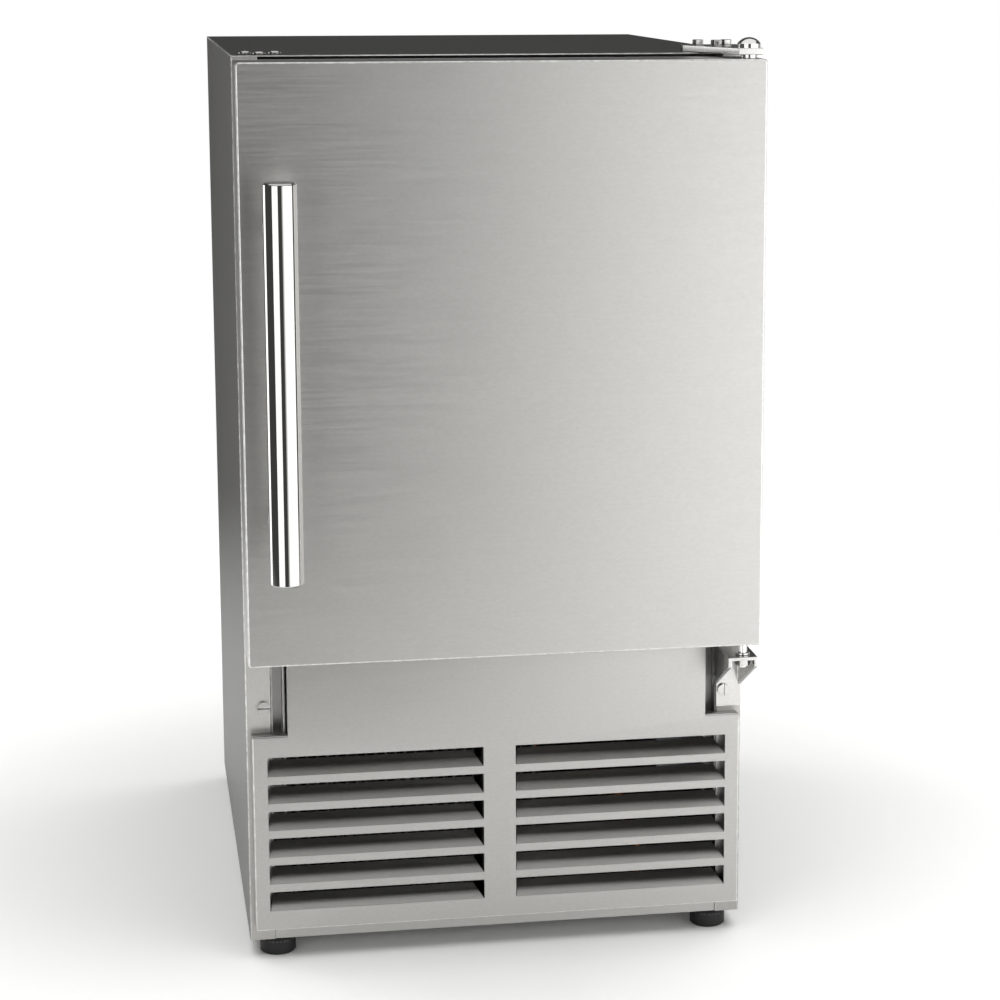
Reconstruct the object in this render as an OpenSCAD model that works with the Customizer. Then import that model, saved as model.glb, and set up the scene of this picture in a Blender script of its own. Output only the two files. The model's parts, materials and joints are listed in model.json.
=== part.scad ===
// Undercounter crescent ice maker: a narrow stainless cabinet on levelling feet, with a
// right-hinged insulated door above a louvred grille. The ice module, its evaporator and the
// ice bucket are behind the door; the compressor, condenser and water valve are in the bay below.
// Millimetres. The origin is on the floor at the centre of the whole footprint, +Z is up and
// -Y is the front. Inside from_face(), y = 0 is the front face of the cabinet.

/* [Cabinet] */
// Width of the cabinet and of the door
cab_w = 354; // [350:1:370]
// Depth of the cabinet without door, handle and pipe fittings
cab_d = 425; // [425:1:460]
// Height of the cabinet top above the floor
cab_top = 634; // [630:1:680]
// Height of the cabinet base above the floor
base_z = 13; // [11:1:16]
// Thickness of the cabinet sheet metal
sheet = 1; // [0.8:0.1:1.2]
// Thickness of the insulated walls with liner
wall_t = 30; // [28:1:32]
// Width of the turned-in flange at each side of the front
flange_w = 17.8; // [16:0.2:20]

/* [Door] */
// Height of the door's bottom edge above the floor
door_bottom = 227.5; // [226:0.5:230]
// Thickness of the door without its gasket
door_t = 47; // [44:1:50]
// Thickness of the magnetic gasket
gasket_t = 12; // [11:0.5:13]
// Radius of the corners of the door's front face
door_corner_r = 2.5; // [1:0.5:4]
// Distance of the hinge axis from the cabinet's side
hinge_inset = 9; // [8:0.5:12]
// Distance of the hinge axis in front of the cabinet's face
hinge_reach = 42; // [38:1:44]

/* [Handle] */
// Diameter of the handle bar
bar_d = 22; // [18:1:24]
// Length of the handle bar
bar_len = 262; // [200:2:300]
// Height of the handle bar's middle above the floor
bar_mid_z = 427; // [400:1:450]
// Distance of the bar's axis from the left side of the door
bar_inset = 24; // [20:1:40]
// Distance of the bar's axis in front of the door
bar_reach = 50; // [45:1:60]
// Distance between the two handle posts
post_gap = 194; // [150:2:220]

/* [Grille] */
// Distance of the grille's front in front of the cabinet's face
grille_reach = 12; // [11:0.5:13]
// Gap between the grille's sides and the cabinet's sides
grille_inset = 3.6; // [3:0.2:5]
// Height of the grille's bottom edge above the floor
grille_bottom = 23.8; // [23:0.2:26]
// Height of the shoulders beside the raised middle of the grille
shoulder_z = 164; // [160:1:170]
// Half width of the raised middle of the grille
raised_half_w = 148.4; // [147.6:0.2:149]
// Number of louvres in each bank
louvre_count = 6; // [4:1:6]
// Height of each louvre slot
slot_h = 14; // [12:0.5:15]
// Distance from one louvre to the next
slot_pitch = 19.6; // [19:0.2:20]

/* [Ice module] */
// Number of ice cavities in the mould
cubes = 7; // [5:1:7]
// Length of mould for each cavity
cube_pitch = 32; // [30:1:32]
// Radius of the crescent cavities
cavity_r = 32; // [28:1:32]

/* [Feet] */
// Diameter of each levelling foot
foot_d = 25.4; // [24:0.2:30]
// Distance of the feet from the middle plane
foot_x = 157; // [150:1:158]

/* [Hidden] */
$fn = 64;
half_w = cab_w / 2;
inner_x = half_w - sheet;
flange_x = half_w - flange_w;
liner_x = half_w - wall_t;
liner_t = 2;
door_top = cab_top - 2.4;
door_front = -(gasket_t + door_t);
door_back = -gasket_t;
floor_z = door_bottom + 22.5;
ceiling_z = cab_top - wall_t;
liner_back = cab_d - 41;
bay_top = floor_z - wall_t;
breaker_back = 4;

handle_y = door_front - bar_reach;
post_r = 6;
handle_x = -half_w + bar_inset;
front_reach = bar_reach - door_front + bar_d / 2;
rear_reach = cab_d + 20;
face_y = (front_reach - rear_reach) / 2;

hinge_x = half_w - hinge_inset;
hinge_y = -hinge_reach;
pin_r = 3.2;
running_gap = 0.05;
plate_t = 4.5;
bracket_t = 2.5;
bracket_z = door_bottom - 10.5;
bracket_front = hinge_y - 9;
bracket_x = half_w - 21;
bush_r = 6;
bush_h = 14;

grille_t = 1.2;
raised_top = door_bottom - 2;
slot_in = 11.4;
slot_out = half_w - 13.7;
slot_z0 = grille_bottom + 14.1;

pan_t = 1.5;
pan_top = base_z + pan_t;
foot_y = [14, cab_d - 14];
stem_r = 4;
foot_gap = 0.3;

axis_z = ceiling_z - 74;
module_x = -liner_x + 52;
mould_y = 92;
mould_len = cubes * cube_pitch;
mould_half_w = cavity_r + 5;
rim_z = axis_z - 6;
shaft_r = 4;
housing_y = [44, 88];
bail_x = mould_half_w + 7;
bail_z = -20;
wire_r = 1.6;

plenum_y = liner_back - 34;
cold_fan_x = liner_x - 57;
cold_fan_z = ceiling_z - 84;
cold_fan_r = 37;
cold_shaft_r = 1.5;
coil_y = liner_back - 16;
coil_z = ceiling_z - 134;
suction_x = 100;

fan_x = -55;
fan_z = 108;
fan_r = 62;
fan_shaft_r = 2.5;
fan_front = 64;
fan_depth = 18;
comp_x = 75;
comp_y = 305;
comp_r = 58;
comp_plate_z = 29;
comp_plate_t = 3;
mount_places = [for (x = [-50, 50], y = [-40, 40]) [x, y]];
coil_left = -140;
coil_right = 30;
coil_mid_y = 40;
coil_inlet_z = 184;
coil_outlet_z = 28;
coil_stub = 8;
bay_pipe_r = 3.5;
discharge_in = 25;
discharge_reach = 62;
discharge_z = 80;
drier_place = [110, 110, 60];
drier_len = 80;
drier_stub = 8;
valve_x = -130;
valve_z = 75;
drain_x = -60;
drain_z = 45;
drain_y = liner_back - 12;
drain_r = 8;
gland_x = 120;
gland_z = 60;
gland_r = 8;
channel_y = cab_d - 21;
suction_r = 5;
water_r = 3.2;
water_z = axis_z + 38;
pipe_bend = 10;
drain_bend = 14;
water_bend = 6;
turn_z = bay_top - 20;
cup_y = mould_y + mould_len + 10;
suction_path = [[suction_x - 20, coil_y, coil_z], [suction_x, coil_y, coil_z], [suction_x, channel_y, coil_z],
    [suction_x, channel_y, 100], [suction_x, comp_y + 61, 100]];
water_path = [[valve_x + 26, channel_y, valve_z + 15], [module_x, channel_y, valve_z + 15],
    [module_x, channel_y, water_z], [module_x, cup_y, water_z], [module_x, cup_y, water_z - 10]];
drain_path = [[0, drain_y, floor_z - 1], [0, drain_y, turn_z], [0, channel_y, turn_z],
    [drain_x, channel_y, turn_z], [drain_x, channel_y, drain_z], [drain_x, rear_reach - 3, drain_z]];
pipe_gap = 0.4;
box_x = 40;
box_front = 34;
control_z = ceiling_z - 17;
knob_x = 110;
rocker_x = 65;

// ---------------------------------------------------------------- shared shapes

// Puts its children in the frame whose y = 0 is the cabinet's front face.
module from_face() translate([0, face_y, 0]) children();

// A box from its lowest corner to its highest.
module block(low, high) translate(low) cube(high - low);

// A cylinder along +X or +Y from a point.
module rod_x(start, r, length) translate(start) rotate([0, 90, 0]) cylinder(h = length, r = r);
module rod_y(start, r, length) translate(start) rotate([-90, 0, 0]) cylinder(h = length, r = r);

// A straight rod between two points.
module rod(a, b, r) {
    v = b - a;
    translate(a) rotate([0, acos(v.z / norm(v)), atan2(v.y, v.x)]) cylinder(h = norm(v), r = r);
}

function unit(v) = v / norm(v);

// A quarter-turn bend at a corner, arriving along u and leaving along v.
module elbow(corner, u, v, r, bend) {
    centre = corner + bend * (v - u);
    w = cross(u, v);
    multmatrix([[-v.x, u.x, w.x, centre.x], [-v.y, u.y, w.y, centre.y], [-v.z, u.z, w.z, centre.z]])
        rotate_extrude(angle = 90) translate([bend, 0]) circle(r = r);
}

// A pipe through a list of corners that all turn by a right angle, with the given bend radius.
module pipe(points, r, bend) {
    last = len(points) - 1;
    for (i = [0:last - 1]) {
        along = unit(points[i + 1] - points[i]);
        rod(points[i] + (i > 0 ? bend : 0) * along, points[i + 1] - (i < last - 1 ? bend : 0) * along, r);
    }
    for (i = [1:last - 1])
        elbow(points[i], unit(points[i] - points[i - 1]), unit(points[i + 1] - points[i]), r, bend);
}

// A rectangle about the origin with rounded corners.
module rounded_rect(w, d, r) {
    square([w - 2 * r, d], center = true);
    square([w, d - 2 * r], center = true);
    for (x = [-1, 1], y = [-1, 1]) translate([x * (w / 2 - r), y * (d / 2 - r)]) circle(r = r);
}

// An upright plate in the X-Z plane with rounded corners, from y0 back to y1.
module upright_plate(x, z0, z1, y0, y1, r) {
    translate([0, y1, (z0 + z1) / 2]) rotate([90, 0, 0]) linear_extrude(y1 - y0)
        rounded_rect(2 * x, z1 - z0, r);
}

// An axial fan along +Y with a blind bore for its motor's shaft at the rear.
module axial_fan(hub_r, tip_r, depth, blades, bore_r) {
    rotate([-90, 0, 0]) difference() {
        union() {
            cylinder(h = depth, r = hub_r);
            for (i = [0:blades - 1]) rotate([0, 0, i * 360 / blades])
                translate([(hub_r + tip_r) / 2 - 1, 0, depth / 2]) rotate([32, 0, 0])
                    cube([tip_r - hub_r, depth * 1.35, 1.6], center = true);
        }
        translate([0, 0, depth / 3]) cylinder(h = depth, r = bore_r);
    }
}

// A slotted pan-head screw standing out of a face along -Y.
module slotted_screw(r, slot_angle) {
    head_h = 2.2;
    difference() {
        rod_y([0, -head_h, 0], r, head_h);
        rotate([0, slot_angle, 0]) block([-r - 1, -head_h - 1, -0.6], [r + 1, -head_h + 1, 0.6]);
    }
}

// ---------------------------------------------------------------- cabinet

// One side sheet with its front and rear flanges; side is -1 on the left and 1 on the right.
module side_panel(side) {
    rear_flange = 10;
    scale_x = side > 0 ? 0 : 1;
    mirror([scale_x, 0, 0]) {
        block([inner_x, 0, base_z], [half_w, cab_d - sheet, cab_top - sheet]);
        block([flange_x, 0, base_z], [inner_x, sheet, cab_top - sheet]);
        block([inner_x - rear_flange, cab_d - 2 * sheet, pan_top], [inner_x, cab_d - sheet, cab_top - sheet]);
    }
}

module left_side_panel() color("#74736f") from_face() side_panel(-1);
module right_side_panel() color("#74736f") from_face() side_panel(1);

module top_panel() color("#4c4b48") from_face() {
    lip = 20;
    difference() {
        block([-half_w, 0, cab_top - sheet], [half_w, cab_d - sheet, cab_top]);
        hinge_screw_holes(cab_top - 2);
        mirror([1, 0, 0]) hinge_screw_holes(cab_top - 2);
    }
    block([-flange_x, 0, cab_top - lip], [flange_x, sheet, cab_top - sheet]);
}

module rear_panel() color("#a9abab") from_face()
    block([-half_w, cab_d - sheet, bay_top], [half_w, cab_d, cab_top]);

module rear_access_cover() color("#a9abab") from_face() {
    slot_l = 70;
    slot_w = 6;
    slot_step = 16;
    slot_z = 125;
    rows = 5;
    difference() {
        block([-half_w, cab_d - sheet, pan_top + 10], [half_w, cab_d, bay_top]);
        for (x = [-110, 30, 110], z = [slot_z:slot_step:slot_z + (rows - 1) * slot_step])
            block([x - slot_l / 2, cab_d - 2, z], [x + slot_l / 2, cab_d + 1, z + slot_w]);
        rod_y([valve_x, cab_d - 2, valve_z], 11, 4);
        rod_y([drain_x, cab_d - 2, drain_z], drain_r + pipe_gap, 4);
        rod_y([gland_x, cab_d - 2, gland_z], gland_r, 4);
    }
}

// Foamed walls round the compartment, with channels for the pipes that pass through them.
module cabinet_insulation() color("#e7dcae") from_face() difference() {
    block([-inner_x, breaker_back, bay_top], [inner_x, cab_d - 2 * sheet, cab_top - sheet]);
    block([-liner_x - liner_t, 0, floor_z - liner_t],
        [liner_x + liner_t, liner_back + liner_t, ceiling_z + liner_t]);
    pipe(suction_path, suction_r + pipe_gap, pipe_bend);
    pipe(water_path, water_r + pipe_gap, water_bend);
    translate([0, drain_y, bay_top - 1]) cylinder(h = wall_t, r = drain_r + pipe_gap);
    hinge_screw_holes(cab_top - 11);
    mirror([1, 0, 0]) hinge_screw_holes(cab_top - 11);
}

module inner_liner() color("#f1f1ee") from_face() difference() {
    block([-liner_x - liner_t, breaker_back, floor_z - liner_t],
        [liner_x + liner_t, liner_back + liner_t, ceiling_z + liner_t]);
    block([-liner_x, 0, floor_z], [liner_x, liner_back, ceiling_z]);
    translate([0, drain_y, floor_z - liner_t - 1]) cylinder(h = liner_t + 2, r = drain_r + pipe_gap);
    rod_y([suction_x, liner_back - 1, coil_z], suction_r + pipe_gap, liner_t + 2);
    rod_y([module_x, liner_back - 1, water_z], water_r + pipe_gap, liner_t + 2);
}

// Plastic ring that joins the steel flange to the liner and breaks the heat path.
module breaker_frame() color("#dededa") from_face() difference() {
    border = 14;
    upright_plate(liner_x + border, floor_z - border, ceiling_z + 8, sheet, breaker_back, 6);
    block([-liner_x, 0, floor_z], [liner_x, breaker_back + 1, ceiling_z]);
}

// Cross rail between the door opening and the machine bay.
module mullion_rail() color("#8f8e8a") from_face() {
    block([-flange_x, 0, bay_top - sheet], [flange_x, sheet, floor_z]);
    block([-flange_x, sheet, bay_top - sheet], [flange_x, 12, bay_top]);
}

// Bottom tray with an upturned edge all round and a threaded boss over each foot.
module base_pan() color("#9b9a96") from_face() {
    edge_h = grille_bottom - base_z;
    boss_h = 7;
    difference() {
        union() {
            difference() {
                block([-inner_x, sheet, base_z], [inner_x, cab_d - 2 * sheet, base_z + edge_h]);
                block([-inner_x + sheet, 2 * sheet, pan_top],
                    [inner_x - sheet, cab_d - 3 * sheet, base_z + edge_h + 1]);
            }
            for (x = [-foot_x, foot_x], y = foot_y)
                translate([x, y, base_z]) cylinder(h = pan_t + boss_h, r = 9, $fn = 6);
        }
        for (x = [-foot_x, foot_x], y = foot_y)
            translate([x, y, base_z - 1]) cylinder(h = 20, r = stem_r + running_gap);
    }
}

// Upright channels behind the raised part of the grille, one at each side.
module grille_channels() color("#6f6e6a") from_face() for (side = [0, 1]) mirror([side, 0, 0]) {
    depth = 14;
    strip_x = raised_half_w + 1.2;
    low = shoulder_z - 60;
    high = bay_top - sheet;
    block([flange_x - sheet, sheet, low], [flange_x, depth, high]);
    block([strip_x, depth - sheet, low], [flange_x - sheet, depth, high]);
    block([strip_x, 0, low], [strip_x + 1.6, depth - sheet, high]);
}

// One louvre: a flap lanced out of the sheet, bent back and up from the slot's lower edge.
module louvre_blade(x0, x1, z) {
    rise = 42;
    taper = 7;
    blade_t = 1;
    root = 0.8;
    cut = 0.4;
    length = slot_h - 0.6;
    translate([0, -grille_reach + root, z - 0.5]) rotate([rise, 0, 0]) linear_extrude(blade_t)
        polygon([[x0 + cut, 0], [x1 - cut, 0], [x1 - taper, length], [x0 + taper / 3, length]]);
}

module grille() color("#bdbcb8") from_face() {
    side_x = half_w - grille_inset;
    inside = -grille_reach + grille_t;
    difference() {
        union() {
            block([-side_x, -grille_reach, grille_bottom], [side_x, 0, shoulder_z]);
            block([-raised_half_w, -grille_reach, shoulder_z - 1], [raised_half_w, 0, raised_top]);
        }
        block([-side_x + grille_t, inside, grille_bottom + grille_t],
            [side_x - grille_t, 1, shoulder_z - grille_t]);
        block([-raised_half_w + grille_t, inside, shoulder_z - grille_t - 1],
            [raised_half_w - grille_t, 1, raised_top - grille_t]);
        for (side = [0, 1], i = [0:louvre_count - 1]) mirror([side, 0, 0])
            block([slot_in, -grille_reach - 1, slot_z0 + i * slot_pitch],
                [slot_out, inside + 1, slot_z0 + i * slot_pitch + slot_h]);
    }
    for (i = [0:louvre_count - 1]) {
        louvre_blade(-slot_out, -slot_in, slot_z0 + i * slot_pitch);
        louvre_blade(slot_in, slot_out, slot_z0 + i * slot_pitch);
    }
}

// The screw in each front flange beside the raised grille.
module flange_screws() color("#c8c7c3") from_face() {
    screw_r = 4.4;
    translate([-half_w + 12.6, 0, shoulder_z + 19]) slotted_screw(screw_r, 0);
    translate([half_w - 13.4, -bracket_t, shoulder_z + 16.7]) slotted_screw(screw_r, 90);
}

module cover_screws() color("#b8b8b8") from_face() {
    for (x = [-half_w + 6, half_w - 6], z = [pan_top + 20, bay_top - 10, bay_top + 12, cab_top - 14])
        rod_y([x, cab_d, z], 3.5, 2);
}

// Levelling foot with its threaded stem; at rest its head is screwed right up to the base.
module levelling_foot(x, y) color("#111111") from_face() translate([x, y, 0]) {
    head_h = base_z - foot_gap;
    chamfer = 1.2;
    rotate_extrude() polygon([[0, 0], [foot_d / 2 - chamfer, 0], [foot_d / 2, chamfer],
        [foot_d / 2, head_h - 3], [foot_d / 2 - 2, head_h], [0, head_h]]);
    translate([0, 0, head_h - 1]) cylinder(h = 34, r = stem_r);
}

module foot_front_left() levelling_foot(-foot_x, foot_y[0]);
module foot_front_right() levelling_foot(foot_x, foot_y[0]);
module foot_rear_left() levelling_foot(-foot_x, foot_y[1]);
module foot_rear_right() levelling_foot(foot_x, foot_y[1]);

// ---------------------------------------------------------------- door

module door_skin() color("#b7b6b2") from_face() difference() {
    upright_plate(half_w, door_bottom, door_top, door_front, door_back - liner_t, door_corner_r);
    upright_plate(half_w - sheet, door_bottom + sheet, door_top - sheet,
        door_front + sheet, 0, door_corner_r - sheet);
    translate([hinge_x, hinge_y, door_bottom - 1]) cylinder(h = 4, r = bush_r);
    translate([hinge_x, hinge_y, door_top - 3]) cylinder(h = 4, r = bush_r);
}

module door_insulation() color("#e7dcae") from_face() difference() {
    upright_plate(half_w - sheet, door_bottom + sheet, door_top - sheet,
        door_front + sheet, door_back - liner_t, door_corner_r - sheet);
    translate([hinge_x, hinge_y, door_bottom]) cylinder(h = bush_h + 8, r = bush_r);
    translate([hinge_x, hinge_y, door_top - bush_h - 8]) cylinder(h = bush_h + 8, r = bush_r);
}

// Inner door panel with a raised rim that reaches into the compartment.
module door_liner() color("#f1f1ee") from_face() {
    rim_x = liner_x - 9;
    rim_w = 16;
    rim_top = ceiling_z - 9;
    rim_bottom = floor_z + 9;
    upright_plate(half_w, door_bottom, door_top, door_back - liner_t, door_back, door_corner_r);
    difference() {
        upright_plate(rim_x, rim_bottom, rim_top, door_back, 4, 10);
        upright_plate(rim_x - rim_w, rim_bottom + rim_w, rim_top - rim_w, door_back, 5, 8);
    }
}

// Magnetic gasket with a bellows groove along its side.
module door_gasket() color("#5a5a58") from_face() difference() {
    outer_x = half_w - 7;
    width = 18;
    outer_top = door_top - 5;
    outer_bottom = door_bottom + 7;
    upright_plate(outer_x, outer_bottom, outer_top, door_back, -0.4, 5);
    upright_plate(outer_x - width, outer_bottom + width, outer_top - width, door_back - 1, 1, 3);
    difference() {
        upright_plate(half_w, door_bottom, door_top, -8, -5, 5);
        upright_plate(outer_x - 3, outer_bottom + 3, outer_top - 3, -9, -4, 4);
    }
}

// Round polished bar, bored from behind for its posts.
module handle_bar() color("#d9d9d6") from_face() difference() {
    chamfer = 1.2;
    translate([handle_x, handle_y, bar_mid_z - bar_len / 2]) rotate_extrude()
        polygon([[0, 0], [bar_d / 2 - chamfer, 0], [bar_d / 2, chamfer], [bar_d / 2, bar_len - chamfer],
            [bar_d / 2 - chamfer, bar_len], [0, bar_len]]);
    handle_posts_at(post_r + running_gap, 0);
}

// Both post cylinders, from a seat inside the bar to the door's face.
module handle_posts_at(r, inset) {
    seat = 4 + inset;
    for (z = [bar_mid_z - post_gap / 2, bar_mid_z + post_gap / 2])
        rod_y([handle_x, handle_y + seat, z], r, bar_reach - seat);
}

module handle_posts() color("#cfcfcb") from_face() {
    rose_r = 9;
    rose_t = 3;
    handle_posts_at(post_r, 0.2);
    for (z = [-post_gap / 2, post_gap / 2])
        rod_y([handle_x, door_front - rose_t, bar_mid_z + z], rose_r, rose_t);
}

module hinge_bushes() color("#e8e6dc") from_face() for (z = [door_bottom, door_top - bush_h])
    translate([hinge_x, hinge_y, z]) difference() {
        cylinder(h = bush_h, r = bush_r);
        translate([0, 0, -1]) cylinder(h = bush_h + 2, r = pin_r + running_gap);
    }

// ---------------------------------------------------------------- hinges

// Places of the three hinge screws behind the right front corner of the top.
hinge_holes = [[half_w - 30.5, 20], [half_w - 19.5, 11], [half_w - 10.5, 20]];

module hinge_screw_holes(z) for (p = hinge_holes) translate([p.x, p.y, z]) cylinder(h = 12, r = 2.2);

module top_hinge_plate() color("#d7d6d2") from_face() translate([0, 0, cab_top]) difference() {
    linear_extrude(plate_t) polygon([[half_w - 41, 30], [half_w - 41, 19], [half_w - 18, bracket_front],
        [half_w - 1, bracket_front], [half_w - 1, 30]]);
    translate([hinge_x, hinge_y, -1]) cylinder(h = plate_t + 2, r = pin_r + running_gap);
    hinge_screw_holes(-1);
}

// Pivot with a domed cap above the plate and a collar between plate and door.
module top_hinge_pin() color("#dcdcd8") from_face() translate([hinge_x, hinge_y, cab_top]) {
    cap_r = 8;
    cap_h = 7;
    drop = cab_top - door_top;
    translate([0, 0, plate_t]) rotate_extrude() intersection() {
        translate([0, cap_h - cap_r * 1.2]) circle(r = cap_r * 1.2);
        square([cap_r, cap_h]);
    }
    translate([0, 0, -drop - bush_h + 1]) cylinder(h = drop + bush_h + plate_t - 1, r = pin_r);
    translate([0, 0, 0.3 - drop]) cylinder(h = drop - 0.3, r = 5.6);
}

module hex_screw(head_r, head_h, length) {
    cylinder(h = head_h, r = head_r, $fn = 6);
    translate([0, 0, -length]) cylinder(h = length, r = 2);
}

module top_hinge_screws() color("#bcbcb8") from_face()
    for (p = hinge_holes) translate([p.x, p.y, cab_top + plate_t]) hex_screw(4, 3.6, 10);

// Plugs in the spare holes that take the hinge when the door is hung on the left.
module hinge_plug_screws() color("#b0b0ac") from_face() mirror([1, 0, 0])
    for (p = hinge_holes) translate([p.x, p.y, cab_top]) {
        rotate_extrude() intersection() {
            translate([0, -3]) circle(r = 5.5);
            square([4.4, 3]);
        }
        translate([0, 0, -6]) cylinder(h = 6.5, r = 2);
    }

// Bent bracket: a leg on the front flange, a shelf under the door and a gusset at each side.
module bottom_hinge_bracket() color("#a8a7a3") from_face() difference() {
    leg_bottom = shoulder_z + 4;
    low_z = bracket_z - 34;
    union() {
        block([bracket_x, bracket_front, bracket_z - bracket_t], [half_w, 0, bracket_z]);
        block([bracket_x + bracket_t, -bracket_t, leg_bottom], [half_w, 0, bracket_z - bracket_t]);
        for (x = [bracket_x, half_w - bracket_t]) translate([x + bracket_t, 0, 0])
            rotate([90, 0, -90]) linear_extrude(bracket_t)
                polygon([[0, low_z], [0, bracket_z - 0.5], [-bracket_front, bracket_z - 0.5],
                    [-bracket_front, bracket_z - 7]]);
    }
    translate([hinge_x, hinge_y, bracket_z - 5]) cylinder(h = 9, r = pin_r + running_gap);
}

// Shouldered pivot that stands on the shelf and is held from below by the nut.
module bottom_hinge_pin() color("#dcdcd8") from_face() translate([hinge_x, hinge_y, bracket_z]) {
    shank_below = 9;
    shoulder_h = 1.6;
    translate([0, 0, -shank_below])
        cylinder(h = door_bottom - bracket_z + shank_below + bush_h - 1, r = pin_r);
    cylinder(h = shoulder_h, r = 5);
}

module hinge_nut() color("#c4c4c0") from_face() {
    nut_h = 5;
    translate([hinge_x, hinge_y, bracket_z - bracket_t - nut_h]) difference() {
        cylinder(h = nut_h, r = 5.6, $fn = 6);
        translate([0, 0, -1]) cylinder(h = nut_h + 2, r = pin_r + running_gap);
    }
}

// ---------------------------------------------------------------- ice module

// Cast mould: one crescent cavity per cube, and at the rear a lug for the shaft and the bail arm.
module ice_mould() color("#b9bcbe") from_face() translate([module_x, mould_y, 0]) {
    web = 3;
    lug_t = 4;
    difference() {
        block([-mould_half_w, -4, axis_z - cavity_r - 5], [mould_half_w, mould_len, rim_z]);
        for (i = [0:cubes - 1]) rod_y([0, i * cube_pitch, axis_z], cavity_r, cube_pitch - web);
        block([-5, 2, rim_z - 9], [5, mould_len - 8, rim_z + 1]);
    }
    difference() {
        union() {
            block([-10, mould_len, axis_z - 20], [10, mould_len + lug_t, axis_z + 10]);
            block([-10, mould_len, axis_z - cavity_r - 5],
                [bail_x + 5, mould_len + lug_t, axis_z + bail_z + 5]);
        }
        rod_y([0, mould_len - 1, axis_z], shaft_r + running_gap, lug_t + 2);
        rod_y([bail_x, mould_len - 1, axis_z + bail_z], wire_r + running_gap, lug_t + 2);
    }
}

// Angle bracket that hangs the mould on the compartment's left wall.
module module_bracket() color("#9fa1a2") from_face() {
    low = rim_z + 2;
    block([-liner_x, mould_y + 10, rim_z - 20], [-liner_x + 2, mould_y + mould_len - 10, low + 18]);
    block([-liner_x + 2, mould_y + 10, rim_z], [module_x - mould_half_w + 4, mould_y + mould_len - 10, low]);
}

// Gearcase of the ejector, with its vents in the front and its open side against the mould.
module module_housing() color("#e4e4e0") from_face() difference() {
    skin = 2;
    vent_half = 20;
    x0 = module_x - mould_half_w - 5;
    x1 = module_x + bail_x + 8;
    z0 = axis_z - 44;
    z1 = axis_z + 34;
    block([x0, housing_y[0], z0], [x1, housing_y[1], z1]);
    block([x0 + skin, housing_y[0] + skin, z0 + skin], [x1 - skin, housing_y[1] - 4, z1 - skin]);
    block([module_x - 12, housing_y[1] - 5, z1 - 20], [module_x + 12, housing_y[1] + 1, z1 - 8]);
    for (i = [-3:3])
        block([module_x - vent_half, housing_y[0] - 1, axis_z + i * 4],
            [module_x + vent_half, housing_y[0] + 1, axis_z + i * 4 + 1.6]);
    rod_y([module_x, housing_y[1] - 5, axis_z], shaft_r + running_gap, 7);
    rod_y([module_x + bail_x, housing_y[1] - 5, axis_z + bail_z], wire_r + running_gap, 7);
}

// Shaft with one flat finger for each cavity, lifted clear of the ice at rest.
module ejector() color("#f4f4f0") from_face() translate([module_x, 0, axis_z]) {
    finger = [7, 5, cavity_r - 3];
    home = 25;
    shaft_front = housing_y[1] - 12;
    shaft_back = mould_y + mould_len + 3;
    rod_y([0, shaft_front, 0], shaft_r, shaft_back - shaft_front);
    for (i = [0:cubes - 1]) translate([0, mould_y + (i + 0.5) * cube_pitch - 1.5, 0]) rotate([0, -home, 0])
        translate([-finger.x / 2, -finger.y / 2, 0]) cube(finger);
}

// Comb beside the shaft that keeps the ejected crescents from falling back.
module ice_stripper() color("#dfe3e4") from_face() translate([module_x, mould_y, rim_z]) {
    comb_t = 2;
    root = mould_half_w - 6;
    block([root, 2, 0], [mould_half_w, mould_len - 2, comb_t]);
    for (i = [1:cubes - 1]) block([8, i * cube_pitch - 8, 0], [root, i * cube_pitch + 5, comb_t]);
}

// Wire arm that feels how full the bucket is; the arm lies in one plane through its pivot.
module bail_arm() color("#c9cccd") from_face() translate([module_x + bail_x, 0, axis_z + bail_z]) {
    droop = 37;
    reach = 63;
    front = mould_y + 3;
    rear = mould_y + mould_len - 6;
    rotate([0, droop, 0]) pipe([[0, housing_y[1] - 3, 0], [0, front, 0], [reach, front, 0],
        [reach, rear, 0], [0, rear, 0], [0, mould_y + mould_len + 3, 0]], wire_r, 4);
}

module fill_cup() color("#f4f4f0") from_face()
translate([module_x, mould_y + mould_len, axis_z + 10]) difference() {
    half = 16;
    front = -10;
    back = 22;
    height = 22;
    skin = 2;
    block([-half, front, 0], [half, back, height]);
    block([skin - half, front + skin, skin], [half - skin, back - skin, height + 1]);
    translate([0, front + 6, -1]) cylinder(h = skin + 2, r = 3);
}

// Finned evaporator with six tube runs behind the cover.
module evaporator_coil() color("#c3c6c8") from_face() {
    left = -50;
    right = 30;
    step = 20;
    runs = 6;
    fin_pitch = 8;
    fin_half = 0.4;
    fin_reach = 12;
    fin_over = 8;
    tube_r = suction_r - 1;
    for (i = [0:runs - 1]) rod_x([left, coil_y, coil_z + i * step], tube_r, right - left);
    for (i = [0:runs - 2]) translate([i % 2 == 0 ? left : right, coil_y, coil_z + (i + 0.5) * step])
        rotate([90, i % 2 == 0 ? -90 : 90, 0])
            rotate_extrude(angle = 180) translate([step / 2, 0]) circle(r = tube_r);
    rod_x([right, coil_y, coil_z], tube_r, suction_x - 20 - right);
    for (x = [left + fin_pitch / 2:fin_pitch:right - fin_pitch / 2])
        block([x - fin_half, coil_y - fin_reach, coil_z - fin_over],
            [x + fin_half, coil_y + fin_reach, coil_z + (runs - 1) * step + fin_over]);
}

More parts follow.
